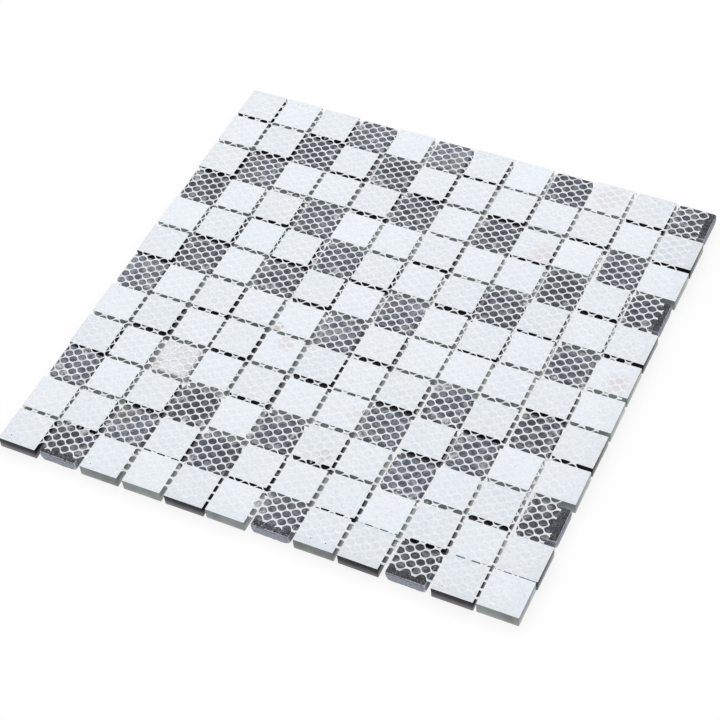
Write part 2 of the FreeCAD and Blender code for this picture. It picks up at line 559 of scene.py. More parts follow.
def edge_distance_group():
    """Distance in millimetres from the nearest edge of a chip, on its own UV map."""
    inputs = {"Side": 23.0, "Thickness": BACK_HEIGHT / MM}
    tree, graph, given = node_group("Chip edge distance", inputs, "Distance")
    if graph:
        spot = graph.node("ShaderNodeUVMap", uv_map="chip").outputs[0]
        spread = graph.vector("ABSOLUTE", graph.vector("SUBTRACT", spot, (0.5, 0.5, 0.0)))
        across = graph.split(spread)
        gaps = [
            graph.math("MULTIPLY", graph.math("SUBTRACT", 0.5, across[axis]), given["Side"])
            for axis in (0, 1)
        ]
        height = graph.math("MULTIPLY", graph.split(graph.place())[2], 1000.0)
        under = graph.math("SUBTRACT", given["Thickness"], height)
        gaps.append(graph.math("MINIMUM", height, under))
        total = graph.math("ADD", graph.math("ADD", gaps[0], gaps[1]), gaps[2])
        widest = graph.math("MAXIMUM", graph.math("MAXIMUM", gaps[0], gaps[1]), gaps[2])
        close_group(graph, graph.math("SUBTRACT", total, widest))
    return tree


def chip_tone_group():
    """A colour made a little lighter or darker from chip to chip."""
    inputs = {"Colour": (0.8, 0.8, 0.8, 1.0), "Spread": 0.05}
    tree, graph, given = node_group("Chip tone", inputs, "Colour", "NodeSocketColor")
    if graph:
        tone = graph.node("ShaderNodeAttribute", attribute_name="chip_tone").outputs["Fac"]
        offset = graph.math("SUBTRACT", tone, 0.5)
        value = graph.math("MULTIPLY_ADD", offset, given["Spread"], 1.0)
        inputs = {"Color": given["Colour"], "Value": value}
        close_group(graph, graph.node("ShaderNodeHueSaturation", inputs).outputs[0])
    return tree


def blotch_group():
    """Mask of soft blotches: their scale, how much they cover and how soft they are."""
    inputs = {"Scale": 200.0, "Cover": 0.3, "Softness": 0.1, "Detail": 3.0}
    tree, graph, given = node_group("Blotches", inputs, "Mask")
    if graph:
        noise = graph.noise(given["Scale"], given["Detail"], 0.6)
        middle = graph.math("MULTIPLY_ADD", given["Cover"], -0.4, 0.7)
        low = graph.math("SUBTRACT", middle, given["Softness"])
        high = graph.math("ADD", middle, given["Softness"])
        close_group(graph, graph.ramp(noise, low, high))
    return tree


def stain_group():
    """Mask of one ragged stain: where it is, how far it reaches, and how hollow it is."""
    inputs = {"Centre": (0.0, 0.0, 0.0), "Radius": 5.0, "Hollow": 0.0, "Strength": 0.5}
    tree, graph, given = node_group("Stain", inputs, "Mask")
    if graph:
        away = graph.vector("DISTANCE", graph.place(), given["Centre"], output=1)
        ragged = graph.math("MULTIPLY_ADD", graph.noise(420.0, 3.0), 1.1, -0.55)
        share = graph.math("DIVIDE", graph.math("MULTIPLY", away, 1000.0), given["Radius"])
        share = graph.math("ADD", share, ragged)
        inside = graph.ramp(share, 1.0, 0.35)
        hole = graph.math("MULTIPLY", graph.ramp(share, 0.6, 0.3), given["Hollow"])
        ring = graph.math("SUBTRACT", inside, hole)
        close_group(graph, graph.math("MULTIPLY", ring, given["Strength"]))
    return tree


def glue_haze_group():
    """Mask of the thin film that dried glue leaves, mostly near the edges of a chip."""
    inputs = {"Amount": 0.5, "Reach": 4.0, "Scale": 160.0}
    tree, graph, given = node_group("Glue haze", inputs, "Mask")
    if graph:
        distance = graph.group(edge_distance_group)
        near = graph.ramp(distance, given["Reach"], 0.0, 0.35, 1.0)
        patches = graph.ramp(graph.noise(given["Scale"], 2.0), 0.5, 0.68)
        film = graph.math("MULTIPLY", near, patches)
        close_group(graph, graph.math("MULTIPLY", film, given["Amount"]))
    return tree


def new_material(name):
    """An empty material: returns its graph, its shader and the material."""
    material = bpy.data.materials.new(name)
    material.use_nodes = True
    graph = Graph(material.node_tree)
    shader = next(node for node in graph.tree.nodes if node.type == "BSDF_PRINCIPLED")
    return graph, shader, material


def bump(graph, shader, height, strength, distance):
    """Send a height to the shader's normal."""
    inputs = {"Height": height, "Strength": strength, "Distance": distance}
    graph.put(shader.inputs["Normal"], graph.node("ShaderNodeBump", inputs).outputs[0])


# Stains that show on the backs: row, column, how far from the chip's middle along and back,
# reach, all in millimetres, then how hollow and how strong they are, and the colour.
STAINS = (
    (12, 10, 0.0, 1.0, 14.0, 0.0, 0.55, "pink"),
    (10, 9, 6.0, -5.0, 10.0, 0.0, 0.55, "pink"),
    (7, 12, 3.0, -3.0, 9.0, 0.0, 0.60, "pink"),
    (5, 5, 1.0, 7.0, 8.0, 0.0, 0.55, "pink"),
    (4, 7, 8.0, 0.0, 8.0, 0.0, 0.40, "pink"),
    (6, 5, -8.5, -8.5, 4.0, 0.2, 0.60, "tan"),
    (6, 5, 7.0, -2.0, 1.6, 0.0, 0.60, "tan"),
    (3, 7, 5.0, -5.5, 5.0, 0.9, 0.55, "tan"),
    (4, 3, -9.0, -6.0, 4.0, 0.0, 0.45, "tan"),
    (4, 3, 3.0, 3.0, 6.5, 0.9, 0.18, "tan"),
    (4, 3, 7.0, -4.0, 3.0, 0.0, 0.18, "tan"),
)


def add_stains(graph, colour, kind, colours):
    """Lay the stains of one kind of chip over a colour."""
    for row, column, along, back, reach, hollow, strength, tint in STAINS:
        chip_kind, x, y, _ = LAYING[row, column]
        if chip_kind != kind:
            continue
        centre = (x + along * MM, y + back * MM, BACK_HEIGHT)
        mask = graph.group(
            stain_group, centre=centre, radius=reach, hollow=hollow, strength=strength
        )
        colour = graph.mix(mask, colour, linear(getattr(colours, tint)))
    return colour


def coat_material(kind, name, tone, colours, dirt):
    """Back coat of a glass chip: thin pale paint, a little stippled, with glue dried on it."""
    graph, shader, material = new_material(name)
    colour = graph.group(chip_tone_group, colour=linear(tone), spread=0.08)
    veil = graph.group(blotch_group, scale=60.0, cover=0.5, softness=0.2, detail=2.0)
    colour = graph.mix(graph.math("MULTIPLY", veil, dirt), colour, (0.78, 0.80, 0.82, 1.0))
    grain = graph.ramp(graph.noise(700.0, 4.0, 0.6), 0.3, 0.7, 1.0 - 0.12 * dirt, 1.0 + 0.12 * dirt)
    colour = graph.node("ShaderNodeHueSaturation", {"Color": colour, "Value": grain}).outputs[0]
    specks = graph.group(blotch_group, scale=900.0, cover=0.02, softness=0.02, detail=1.0)
    colour = graph.mix(graph.math("MULTIPLY", specks, 0.25), colour, (0.30, 0.30, 0.32, 1.0))
    colour = add_stains(graph, colour, kind, colours)
    graph.put(shader.inputs["Base Color"], colour)
    haze = graph.group(glue_haze_group, amount=1.0, reach=8.0, scale=120.0)
    graph.put(shader.inputs["Roughness"], graph.ramp(haze, 0.0, 1.0, 0.62, 0.38))
    stipple = graph.math("MULTIPLY_ADD", graph.noise(1400.0, 2.0), 0.6, haze)
    bump(graph, shader, stipple, 0.35, 0.08 * MM)
    return material


def white_glass_material(colours):
    """Body of a white glass chip: green-grey in its depth, paler towards the face, with a painted glow
    over it that stands in for light the glass lets into the joints.
    """
    graph, shader, material = new_material("White glass body and painted glow")
    height = graph.split(graph.place())[2]
    colour = graph.group(chip_tone_group, colour=linear(colours.white_side), spread=0.35)
    pale = graph.ramp(height, 4.0 * MM, 0.4 * MM)
    colour = graph.mix(graph.math("MULTIPLY", pale, 0.25), colour, (0.34, 0.36, 0.35, 1.0))
    clouds_in_glass = graph.noise(90.0, 3.0)
    shade = graph.ramp(clouds_in_glass, 0.3, 0.7, 0.72, 1.15)
    colour = graph.node("ShaderNodeHueSaturation", {"Color": colour, "Value": shade}).outputs[0]
    # Painted glow: the body gives off light in its own colour in place of light through the glass into
    # the shaded joints. Its base colour is darkened to match.
    graph.put(shader.inputs["Base Color"], graph.mix(0.6, colour, (0.0, 0.0, 0.0, 1.0)))
    graph.put(shader.inputs["Emission Color"], colour)
    shader.inputs["Emission Strength"].default_value = 0.66
    graph.put(shader.inputs["Roughness"], graph.ramp(graph.noise(250.0), 0.35, 0.65, 0.10, 0.24))
    bump(graph, shader, graph.noise(160.0, 2.0), 0.15, 0.3 * MM)
    shader.inputs["IOR"].default_value = 1.5
    return material


def dark_glass_material(colours):
    """Body of a dark glass chip: near black under its coat, mauve towards the face."""
    graph, shader, material = new_material("Dark glass body")
    height = graph.split(graph.place())[2]
    wander = graph.math("MULTIPLY_ADD", graph.noise(120.0, 3.0), 2.4 * MM, -1.2 * MM)
    level = graph.math("ADD", height, wander)
    foot = graph.ramp(level, 6.0 * MM, 1.0 * MM)
    colour = graph.mix(foot, linear(colours.dark_side), linear(colours.dark_foot))
    colour = graph.group(chip_tone_group, colour=colour, spread=0.35)
    graph.put(shader.inputs["Base Color"], colour)
    graph.put(shader.inputs["Roughness"], graph.ramp(graph.noise(250.0), 0.35, 0.65, 0.08, 0.22))
    bump(graph, shader, graph.noise(160.0, 2.0), 0.15, 0.3 * MM)
    shader.inputs["IOR"].default_value = 1.5
    shader.inputs["Specular IOR Level"].default_value = 0.22
    return material


def net_cover_group():
    """Mask of the area that the net covers, and so where glue was spread."""
    tree, graph, _ = node_group("Under the net", {}, "Mask")
    if graph:
        boxes = [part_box(node) for node in NET_NODES]
        across = graph.split(graph.place())
        wander = graph.math("MULTIPLY_ADD", graph.noise(300.0, 2.0), 2.0 * MM, -1.0 * MM)
        inside = []
        for axis in (0, 1):
            low = min(box[0][axis] for box in boxes)
            high = max(box[1][axis] for box in boxes)
            past = graph.math("SUBTRACT", across[axis], (low + high) / 2)
            past = graph.math("ADD", graph.math("ABSOLUTE", past), wander)
            inside.append(graph.ramp(past, (high - low) / 2 + 0.5 * MM, (high - low) / 2 - MM))
        close_group(graph, graph.math("MULTIPLY", *inside))
    return tree


def stone_material(kind, name, tones, colours, shine):
    """Tumbled stone: mottled and pitted, paler on its upright faces, rubbed pale on its edges, with a
    highlight painted along them.
    """
    deep, pale, earth, rubbed = tones
    graph, shader, material = new_material(name)
    mottle = graph.group(blotch_group, scale=330.0, cover=0.45, softness=0.12, detail=6.0)
    colour = graph.mix(graph.math("MULTIPLY", mottle, 0.35), deep, pale)
    earthy = graph.group(blotch_group, scale=75.0, cover=0.3, softness=0.1, detail=3.0)
    tone = graph.node("ShaderNodeAttribute", attribute_name="chip_tone").outputs["Fac"]
    earthiness = graph.ramp(tone, 0.45, 0.75, 0.03, 0.4)
    colour = graph.mix(graph.math("MULTIPLY", earthy, earthiness), colour, earth)
    under = graph.group(net_cover_group)
    grain = 0.6 * shine
    shade = graph.ramp(graph.noise(900.0, 4.0, 0.7), 0.3, 0.7, 1.0 - grain, 1.0 + grain)
    shade = graph.math("MULTIPLY", shade, graph.ramp(under, 0.0, 1.0, 0.6, 1.0))
    colour = graph.node("ShaderNodeHueSaturation", {"Color": colour, "Value": shade}).outputs[0]
    colour = graph.mix(graph.math("MULTIPLY", under, 0.08), colour, pale)
    specks = graph.group(blotch_group, scale=1500.0, cover=0.26, softness=0.05, detail=3.0)
    bare = graph.ramp(under, 0.0, 1.0, 0.6 * shine, 0.1 * shine)
    colour = graph.mix(graph.math("MULTIPLY", specks, bare), colour, rubbed)
    colour = graph.group(chip_tone_group, colour=colour, spread=0.9)
    # Upright faces are mixed in patches towards the pale tone, so they come out paler than level ones.
    upright_paler = graph.ramp(graph.facing_up(), 0.8, 0.3, 0.0, 0.95)
    patchy = graph.ramp(graph.noise(700.0, 4.0, 0.7), 0.35, 0.6, 0.55, 1.0)
    colour = graph.mix(graph.math("MULTIPLY", upright_paler, patchy), colour, pale)
    # Edges rubbed pale: partly real wear, partly a painted highlight along the arris.
    edge = graph.node("ShaderNodeAttribute", attribute_name="chip_edge").outputs["Fac"]
    ragged = graph.math("MULTIPLY_ADD", graph.noise(700.0, 3.0), 0.8, edge)
    wear_and_highlight = graph.ramp(ragged, 0.85, 1.1, 0.0, 0.8)
    colour = graph.mix(wear_and_highlight, colour, rubbed)
    haze = graph.group(glue_haze_group, amount=0.9, reach=5.0, scale=190.0)
    film = graph.math("MULTIPLY", graph.math("MULTIPLY", haze, under), 0.5)
    colour = graph.mix(film, colour, (0.62, 0.63, 0.64, 1.0))
    colour = add_stains(graph, colour, kind, colours)
    graph.put(shader.inputs["Base Color"], colour)
    graph.put(shader.inputs["Roughness"], graph.ramp(film, 0.0, 0.3, 0.7, 0.7 - 0.48 * shine))
    pits = graph.ramp(graph.noise(900.0, 4.0, 0.65), 0.3, 0.52)
    bump(graph, shader, pits, 0.5 * shine, 0.2 * MM)
    return material


def net_material(colours):
    """Coated glass fibre: white, softly shining, with its fibres showing faintly."""
    graph, shader, material = new_material("Net fibre")
    tone = linear(colours.net)
    dull = graph.group(blotch_group, scale=150.0, cover=0.4, softness=0.2, detail=3.0)
    colour = graph.mix(graph.math("MULTIPLY", dull, 0.3), tone, (0.74, 0.76, 0.78, 1.0))
    # Painted see-through: the net is darkened where stone, dark glass and the shaded joints lie under
    # it, and over the joints this is painted shade.
    under = graph.node("ShaderNodeAttribute", attribute_name="shows_through").outputs["Fac"]
    clear = graph.ramp(graph.noise(160.0, 3.0), 0.3, 0.7, 0.04, 0.3)
    colour = graph.mix(graph.math("MULTIPLY", under, clear), colour, (0.15, 0.17, 0.22, 1.0))
    graph.put(shader.inputs["Base Color"], colour)
    graph.put(shader.inputs["Roughness"], graph.ramp(graph.noise(900.0), 0.3, 0.7, 0.35, 0.6))
    bump(graph, shader, graph.noise(2600.0, 2.0), 0.3, 0.06 * MM)
    return material


def glue_material():
    """Dried glue: a clear film, milky where it is thick."""
    graph, shader, material = new_material("Dried glue")
    milk = graph.group(blotch_group, scale=420.0, cover=0.4, softness=0.14, detail=4.0)
    colour = graph.mix(milk, (0.50, 0.52, 0.56, 1.0), (0.80, 0.81, 0.83, 1.0))
    graph.put(shader.inputs["Base Color"], colour)
    graph.put(shader.inputs["Alpha"], graph.ramp(milk, 0.0, 1.0, 0.04, 0.45))
    graph.put(shader.inputs["Roughness"], graph.ramp(graph.noise(500.0), 0.3, 0.7, 0.2, 0.45))
    bump(graph, shader, graph.noise(700.0, 3.0), 0.6, 0.2 * MM)
    return material


def dress_glass(coat, body, thickness):
    """How a glass chip takes its finishes: the coat on its back, the body elsewhere."""

    def dress(chip):
        chip.data.materials.append(body)
        chip.data.materials.append(coat)
        for face in chip.data.polygons:
            face.material_index = int(face.normal.z > 0.9 and face.center.z > 0.9 * thickness)

    return dress


def wear_stone(sizes):
    """How a row of stone chips wears: hollows all over, and more taken off the edges."""

    def finish(piece):
        for name, size, group, depth in (
            ("Broad hollows", 7.0 * MM, "", 0.25 * MM),
            ("Worn edges", 2.6 * MM, "edges", sizes.stone_wear * 2),
        ):
            apply_modifier(
                piece,
                "DISPLACE",
                texture=clouds(name, size),
                texture_coords="LOCAL",
                vertex_group=group,
                strength=depth,
                mid_level=1.0,
            )

    return finish


def cell_shape(sizes, strand=0.0, crossing=0.0):
    """The six-sided outline of a cell, drawn in by half the widths of its strands.

    Gives how far its two points reach along, how far its shoulders are from the middle along,
    and how far its flat sides are from the middle back.
    """
    shoulder = sizes.crossing_length / 2
    point = sizes.cell_length / 2 - shoulder
    flat = sizes.cell_width / 2
    slant = math.hypot(flat, point - shoulder)
    clear = point * flat / slant - strand / 2
    flat -= crossing / 2
    lean = (point - shoulder) / slant
    rise = sizes.cell_width / 2 / slant
    return clear / rise, (clear - lean * flat) / rise, flat


def cell_loop(height, shape):
    """Add the outline of one cell at a height."""
    point, shoulder, flat = shape
    bpy.ops.mesh.primitive_circle_add(
        vertices=6, radius=1, location=(0, 0, height), rotation=(0, 0, math.pi / 2)
    )
    bpy.ops.transform.resize(value=(point, flat / math.sin(math.pi / 3), 1))
    select("VERT", lambda vert: abs(vert.co.z - height) < 0.01 * MM and abs(vert.co.y) > 0.1 * MM)
    bpy.ops.transform.resize(value=(2 * shoulder / point, 1, 1))
    select("VERT", lambda vert: abs(vert.co.z - height) < 0.01 * MM)
    bpy.ops.mesh.subdivide(number_cuts=1)


def make_net_cell(sizes):
    """One cell: half of each strand round it, from the ridge down to the hole's rim.

    The ridge is left tall here, so that welding the cells can't join it to the underside.
    """
    start_alone()
    bpy.ops.mesh.primitive_circle_add(vertices=4, radius=0.5, location=(0, 0, 0))
    cell = bpy.context.object
    cell.name = "backing_net"
    bpy.ops.object.mode_set(mode="EDIT")
    bpy.ops.mesh.select_all(action="SELECT")
    bpy.ops.mesh.delete(type="VERT")
    top = BACK_HEIGHT + TALL
    rim = BACK_HEIGHT + 0.5 * TALL
    cell_loop(rim, cell_shape(sizes, sizes.strand_width, sizes.crossing_width))
    bpy.ops.mesh.vertices_smooth(factor=0.4, repeat=1, zaxis=False)
    cell_loop(top, cell_shape(sizes))
    cell_loop(BACK_HEIGHT, cell_shape(sizes))
    for height in (top, BACK_HEIGHT):
        near = (rim, height)
        select("VERT", lambda vert: min(abs(vert.co.z - level) for level in near) < 0.01 * MM)
        bpy.ops.mesh.bridge_edge_loops()
    select("VERT", lambda vert: abs(vert.co.z - rim) < 0.01 * MM)
    bpy.ops.transform.translate(value=(0, 0, BACK_HEIGHT - rim))
    select("VERT", lambda vert: abs(vert.co.z - top) < 0.01 * MM and abs(
        abs(vert.co.y) / sizes.cell_width - 0.25) > 0.2)
    bpy.ops.transform.translate(value=(0, 0, 0.4 * TALL))
    bpy.ops.object.mode_set(mode="OBJECT")
    return cell


class MOSAIC_OT_glass_chips(bpy.types.Operator):
    """Model the white and dark glass chips and lay them in their rows"""

    bl_idname = "mosaic.glass_chips"
    bl_label = "Glass Chips"

    def execute(self, context):
        sizes = context.scene.mosaic_chips
        colours = context.scene.mosaic_colours
        white_coat = coat_material(
            "white_glass", "White glass back coat", colours.white_coat, colours, 0.45
        )
        dark_coat = coat_material(
            "dark_glass", "Dark glass back coat", colours.dark_coat, colours, 0.6
        )
        white_body = white_glass_material(colours)
        dark_body = dark_glass_material(colours)
        lay_rows(
            make_glass_chip(sizes),
            {
                "white_glass": dress_glass(white_coat, white_body, sizes.thickness),
                "dark_glass": dress_glass(dark_coat, dark_body, sizes.thickness),
            },
        )
        return {"FINISHED"}


class MOSAIC_OT_stone_chips(bpy.types.Operator):
    """Model the grey and cream stone chips, wear them and lay them in their rows"""

    bl_idname = "mosaic.stone_chips"
    bl_label = "Stone Chips"

    def execute(self, context):
        sizes = context.scene.mosaic_chips
        colours = context.scene.mosaic_colours
        grey_tones = (
            colours.stone_deep, colours.stone_pale, colours.stone_earth, colours.stone_rubbed_and_highlight
        )
        grey = stone_material(
            "grey_stone", "Grey stone", [linear(tone) for tone in grey_tones], colours, 1.0
        )
        cream_tones = (colours.cream, colours.cream_pale, colours.tan, colours.cream_pale)
        cream = stone_material(
            "cream_stone", "Cream stone", [linear(tone) for tone in cream_tones], colours, 0.3
        )
        lay_rows(
            make_stone_chip(sizes),
            {
                "grey_stone": lambda chip: chip.data.materials.append(grey),
                "cream_stone": lambda chip: chip.data.materials.append(cream),
            },
            wear_stone(sizes),
        )
        return {"FINISHED"}


class NetLattice:
    """Where the cells of the net lie, and which of them the cut has left whole."""

    def __init__(self, sizes):
        self.along = Vector((sizes.cell_length, sizes.row_drift))
        self.back = Vector((sizes.column_drift, sizes.cell_width))
        self.start = Vector(sizes.crossing) + self.along / 2
        self.shape = cell_shape(sizes)
        self.known = {}
        self.overhang = sizes.overhang
        self.pulls = (
            sizes.pull_all, sizes.pull_right, sizes.pull_sides, sizes.pull_corners,
            sizes.pull_back, sizes.pull_ends, sizes.pull_edges,
        )
        boxes = [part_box(node) for node in NET_NODES]
        self.low = Vector((min(box[0].x for box in boxes), min(box[0].y for box in boxes)))
        self.high = Vector((max(box[1].x for box in boxes), max(box[1].y for box in boxes)))

    def steps(self, x, y):
        """A point in steps of half a cell along the two strands that bound a cell."""
        dx, dy = x - self.start.x, y - self.start.y
        scale = self.along.x * self.back.y - self.along.y * self.back.x
        cells_along = (dx * self.back.y - dy * self.back.x) / scale
        cells_back = (dy * self.along.x - dx * self.along.y) / scale
        return cells_along + cells_back, cells_along - cells_back

    def middle(self, rising, falling):
        """The middle of the cell that is so many steps along the two strands."""
        spot = self.start + self.along * (rising + falling) / 2 + self.back * (rising - falling) / 2
        return spot.x, spot.y

    def is_whole(self, rising, falling):
        """Whether the cut has left the cell whole, once pulled; the left side is cut straight."""
        if (rising, falling) in self.known:
            return self.known[rising, falling]
        x, y = pulled(self, *self.middle(rising, falling))
        half = Vector((self.along.x, self.back.y)) / 2 - Vector((self.overhang, self.overhang))
        inside_x = self.low.x - self.along.x <= x <= self.high.x - half.x
        inside_y = self.low.y + half.y <= y <= self.high.y - half.y
        self.known[rising, falling] = inside_x and inside_y
        return self.known[rising, falling]

    def outness(self, cell, x, y):
        """How far out of a cell a point is: 0 in its middle and 1 on its outline."""
        point, shoulder, flat = self.shape
        middle = self.middle(*cell)
        along, back = abs(x - middle[0]), abs(y - middle[1])
        return max(back / flat, (along + back * (point - shoulder) / flat) / point)

    def keeps(self, x, y):
        """Whether the net holds a bit of strand: round a whole cell, or as a cut end."""
        rising, falling = self.steps(x, y)
        crossing = (math.floor(rising), math.floor(falling))
        cells = [(crossing[0] + i, crossing[1] + j) for i in (0, 1) for j in (0, 1)]
        cells.sort(key=lambda cell: self.outness(cell, x, y))
        side_by_side = sum(cells[0]) == sum(cells[1])
        if x < self.low.x + self.along.x:
            middle = self.middle(crossing[0] + 0.5, crossing[1] + 0.5)
            off = 0.0 if side_by_side else math.copysign(0.175 * self.along.x, x - middle[0])
            if pulled(self, middle[0] + off, middle[1])[0] < self.low.x + MM:
                return False
        if any(self.is_whole(*cell) for cell in cells[:2]):
            return True
        share = 0.7 if side_by_side else 0.25
        drawn = random.Random(f"end {crossing}").random()
        return drawn < share and any(self.is_whole(*cell) for cell in cells)


def spread_cells(cell, lattice, sizes):
    """Repeat a cell over the whole sheet, two in each step, and weld them together."""
    low, high = lattice.low, lattice.high
    left = math.ceil((lattice.start.x - low.x) / lattice.along.x) + 1
    front = math.ceil((lattice.start.y - low.y) / lattice.back.y) + 1
    wide = left + math.ceil((high.x - lattice.start.x) / lattice.along.x) + 1
    deep = front + math.ceil((high.y - lattice.start.y) / lattice.back.y) + 1
    corner = lattice.start - lattice.along * left - lattice.back * front
    pick(cell)
    cell.location = (corner.x, corner.y, 0)
    bpy.ops.object.transform_apply(location=True, rotation=True, scale=True)
    beside = (lattice.along + lattice.back) / 2
    for step, count in ((beside, 2), (lattice.along, wide), (lattice.back, deep)):
        apply_modifier(
            cell,
            "ARRAY",
            count=count,
            use_relative_offset=False,
            use_constant_offset=True,
            constant_offset_displace=(step.x, step.y, 0),
        )
    bpy.ops.object.mode_set(mode="EDIT")
    bpy.ops.mesh.select_all(action="SELECT")
    bpy.ops.mesh.remove_doubles(threshold=WELD)
    bpy.ops.transform.resize(
        value=(1, 1, sizes.strand_height / TALL), center_override=(0, 0, BACK_HEIGHT)
    )


def note_what_shows_through(net, side):
    """Mark how dark a ground shows through the net, for a painted see-through: stone, the joints'
    painted shade, and a little dark glass.
    """
    points = np.empty(3 * len(net.data.vertices))
    net.data.vertices.foreach_get("co", points)
    points = points.reshape(-1, 3)[:, None, :2]
    chips = list(LAYING.values())
    gaps = np.abs(points - np.array([chip[1:3] for chip in chips])).max(axis=2)
    grounds = {"white_glass": 0.0, "dark_glass": 0.16, "grey_stone": 1.0, "cream_stone": 0.1}
    marks = np.array([grounds[chip[0]] for chip in chips])[gaps.argmin(axis=1)]
    # Over the joints the mark paints their shade onto the net.
    marks[gaps.min(axis=1) > side / 2] = 1.0
    net.data.attributes.new("shows_through", "FLOAT", "POINT").data.foreach_set("value", marks)


def pulled(lattice, x, y):
    """Where a point of the net ends up once the net is pulled."""
    wide, deep = lattice.high - lattice.low
    across = min(max(2 * (x - lattice.low.x) / wide - 1, -1), 1)
    up = min(max(2 * (y - lattice.low.y) / deep - 1, -1), 1)
    shares = (1, across, across**2, across * up, up, up**2, up**3)
    along = sum(share * pull[0] for share, pull in zip(shares, lattice.pulls))
    back = sum(share * pull[1] for share, pull in zip(shares, lattice.pulls))
    return x + along, y + back


def pull_out_of_square(piece, lattice):
    """Pull the net, or what sticks to it, out of square."""
    start_alone()
    bpy.ops.object.add(type="LATTICE")
    cage = bpy.context.object
    cage.data.points_u = cage.data.points_v = 5
    cage.data.points_w = 1
    for axis in ("u", "v", "w"):
        setattr(cage.data, f"interpolation_type_{axis}", "KEY_CATMULL_ROM")
    middle = (lattice.low + lattice.high) / 2
    wide, deep = lattice.high - lattice.low
    cage.location = (middle.x, middle.y, BACK_HEIGHT)
    cage.scale = (wide, deep, 1)
    for point in cage.data.points:
        x, y = middle.x + point.co.x * wide, middle.y + point.co.y * deep
        new_x, new_y = pulled(lattice, x, y)
        point.co_deform += Vector(((new_x - x) / wide, (new_y - y) / deep, 0))
    bpy.context.view_layer.update()
    pick(piece)
    apply_modifier(piece, "LATTICE", object=cage)
    bpy.data.objects.remove(cage)


class MOSAIC_OT_backing_net(bpy.types.Operator):
    """Weave the backing net from one cell and cut it to whole cells"""

    bl_idname = "mosaic.backing_net"
    bl_label = "Backing Net"

    def execute(self, context):
        sizes = context.scene.mosaic_net
        lattice = NetLattice(sizes)
        net = make_net_cell(sizes)
        spread_cells(net, lattice, sizes)
        select("FACE", lambda face: not lattice.keeps(*face.calc_center_median().xy))
        bpy.ops.mesh.delete(type="FACE")
        bpy.ops.mesh.select_all(action="SELECT")
        bpy.ops.mesh.fill_holes(sides=4)
        bpy.ops.mesh.select_all(action="SELECT")
        bpy.ops.mesh.normals_make_consistent(inside=False)
        bpy.ops.object.mode_set(mode="OBJECT")
        for direction, size in (("X", 16 * MM), ("Y", 21 * MM)):
            apply_modifier(
                net,
                "DISPLACE",
                texture=clouds(f"Strand sway {direction}", size),
                texture_coords="LOCAL",
                direction=direction,
                strength=2 * sizes.sway,
                mid_level=0.5,
            )
        pull_out_of_square(net, lattice)
        bpy.ops.object.shade_smooth_by_angle(angle=math.radians(75))
        note_what_shows_through(net, context.scene.mosaic_chips.side)
        net.data.materials.append(net_material(context.scene.mosaic_colours))
        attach(net, BODY)
        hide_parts(*NET_NODES)
        return {"FINISHED"}


def make_film(sizes):
    """A film of glue that fills one cell, thin at its rim."""
    start_alone()
    bpy.ops.mesh.primitive_circle_add(vertices=12, radius=0.5, fill_type="NGON")
    film = bpy.context.object
    film.name = "glue_film"
    bpy.ops.object.mode_set(mode="EDIT")
    bpy.ops.transform.resize(value=(0.71 * sizes.cell_length, 0.86 * sizes.cell_width, 1))
    bpy.ops.mesh.extrude_region_move(TRANSFORM_OT_translate={"value": (0, 0, 0.02 * MM)})
    bpy.ops.mesh.inset(thickness=1.2 * MM, depth=0.02 * MM)
    bpy.ops.mesh.select_all(action="SELECT")
    bpy.ops.mesh.normals_make_consistent(inside=False)
    bpy.ops.object.mode_set(mode="OBJECT")
    bpy.ops.object.shade_smooth_by_angle(angle=math.radians(60))
    return film


def make_bead():
    """A bead of glue that has set in a joint."""
    start_alone()
    bpy.ops.mesh.primitive_uv_sphere_add(segments=10, ring_count=6, radius=0.5)
    bead = bpy.context.object
    bead.name = "glue_bead"
    bpy.ops.transform.resize(value=(2.2 * MM, 1.3 * MM, 0.9 * MM))
    bpy.ops.object.transform_apply(location=True, rotation=True, scale=True)
    bpy.ops.object.shade_smooth()
    return bead


def nearest_chip(x, y):
    """The kind of the chip that is nearest to a point, and how far in from its edge it is."""
    side = bpy.context.scene.mosaic_chips.side
    kind, middle_x, middle_y, _ = min(
        LAYING.values(), key=lambda chip: max(abs(chip[1] - x), abs(chip[2] - y))
    )
    return kind, side / 2 - max(abs(middle_x - x), abs(middle_y - y))


def copy_to(master, places):
    """Copy a master to some places, each (x, y, z, turn, scale), and return the copies."""
    copies = []
    for x, y, z, turn, scale in places:
        copy = master.copy()
        copy.data = master.data.copy()
        bpy.context.scene.collection.objects.link(copy)
        copy.location = (x, y, z)
        copy.rotation_euler = (0, 0, turn)
        copy.scale = (scale, scale, 1)
        copies.append(copy)
    return copies


